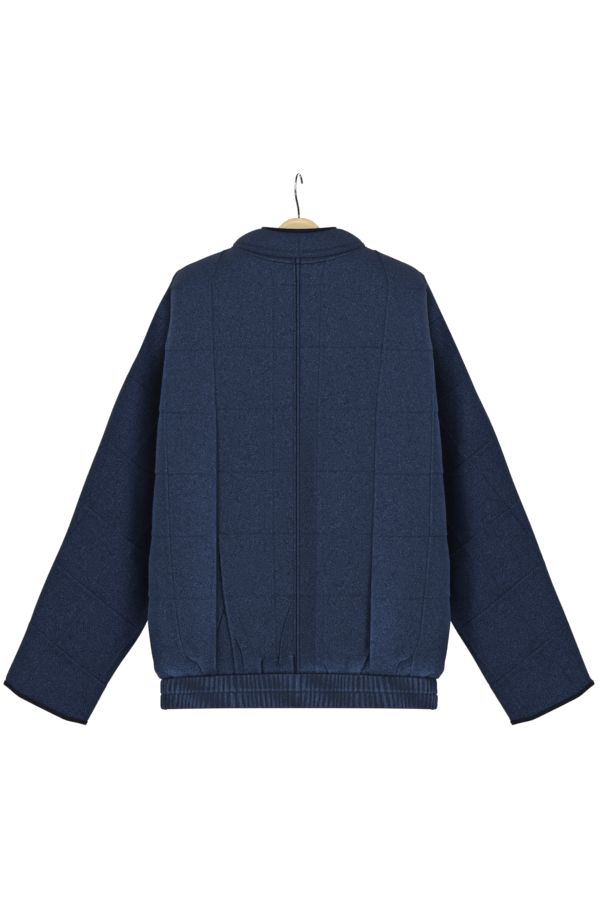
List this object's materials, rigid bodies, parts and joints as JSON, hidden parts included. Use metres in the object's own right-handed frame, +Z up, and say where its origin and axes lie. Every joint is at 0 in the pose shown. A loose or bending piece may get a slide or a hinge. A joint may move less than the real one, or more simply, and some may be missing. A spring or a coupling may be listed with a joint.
{
  "type": "quilted zip jacket on a wooden hanger",
  "caption": "Quilted navy zip jacket with a bound stand collar, bound cuffs and a gathered elastic hem band, hanging closed on a wooden hanger with a wire hook.",
  "frame": {"origin": "the point under the top of the hook wire where a rail carries the hanger", "axes": "+Z up, +X to the wearer's left, +Y out of the back of the jacket, so the zipped front faces -Y"},
  "size_m": [0.8406, 0.1723, 0.7806],
  "materials": {
    "quilted_cloth": "matt heathered jersey, quilted",
    "edge_binding": "smooth stretch binding",
    "zip_tape": "woven tape",
    "zip_metal": "dark coated zinc",
    "hanger_wood": "pale satin varnish",
    "hook_steel": "satin steel wire"
  },
  "bodies": {
    "jacket": {"back_left": "quilted_cloth", "back_right": "quilted_cloth", "front_left": "quilted_cloth", "front_right": "quilted_cloth", "sleeve_left": "quilted_cloth", "sleeve_right": "quilted_cloth", "collar_left": "quilted_cloth", "collar_right": "quilted_cloth", "collar_binding": "edge_binding", "cuff_binding_left": "edge_binding", "cuff_binding_right": "edge_binding", "hem_band": "quilted_cloth", "zip_tape_left": "zip_tape", "zip_tape_right": "zip_tape", "zip_slider": "zip_metal", "hanger_wood": "hanger_wood", "hanger_hook": "hook_steel"},
    "zip_pull": {"zip_pull": "zip_metal"}
  },
  "joints": [
    {"name": "pull_swing", "type": "hinge", "parent": "jacket", "child": "zip_pull", "pos_m": [0, -0.0656, -0.12153], "axis": [-1, 0, 0], "range_deg": [0, 150]}
  ]
}
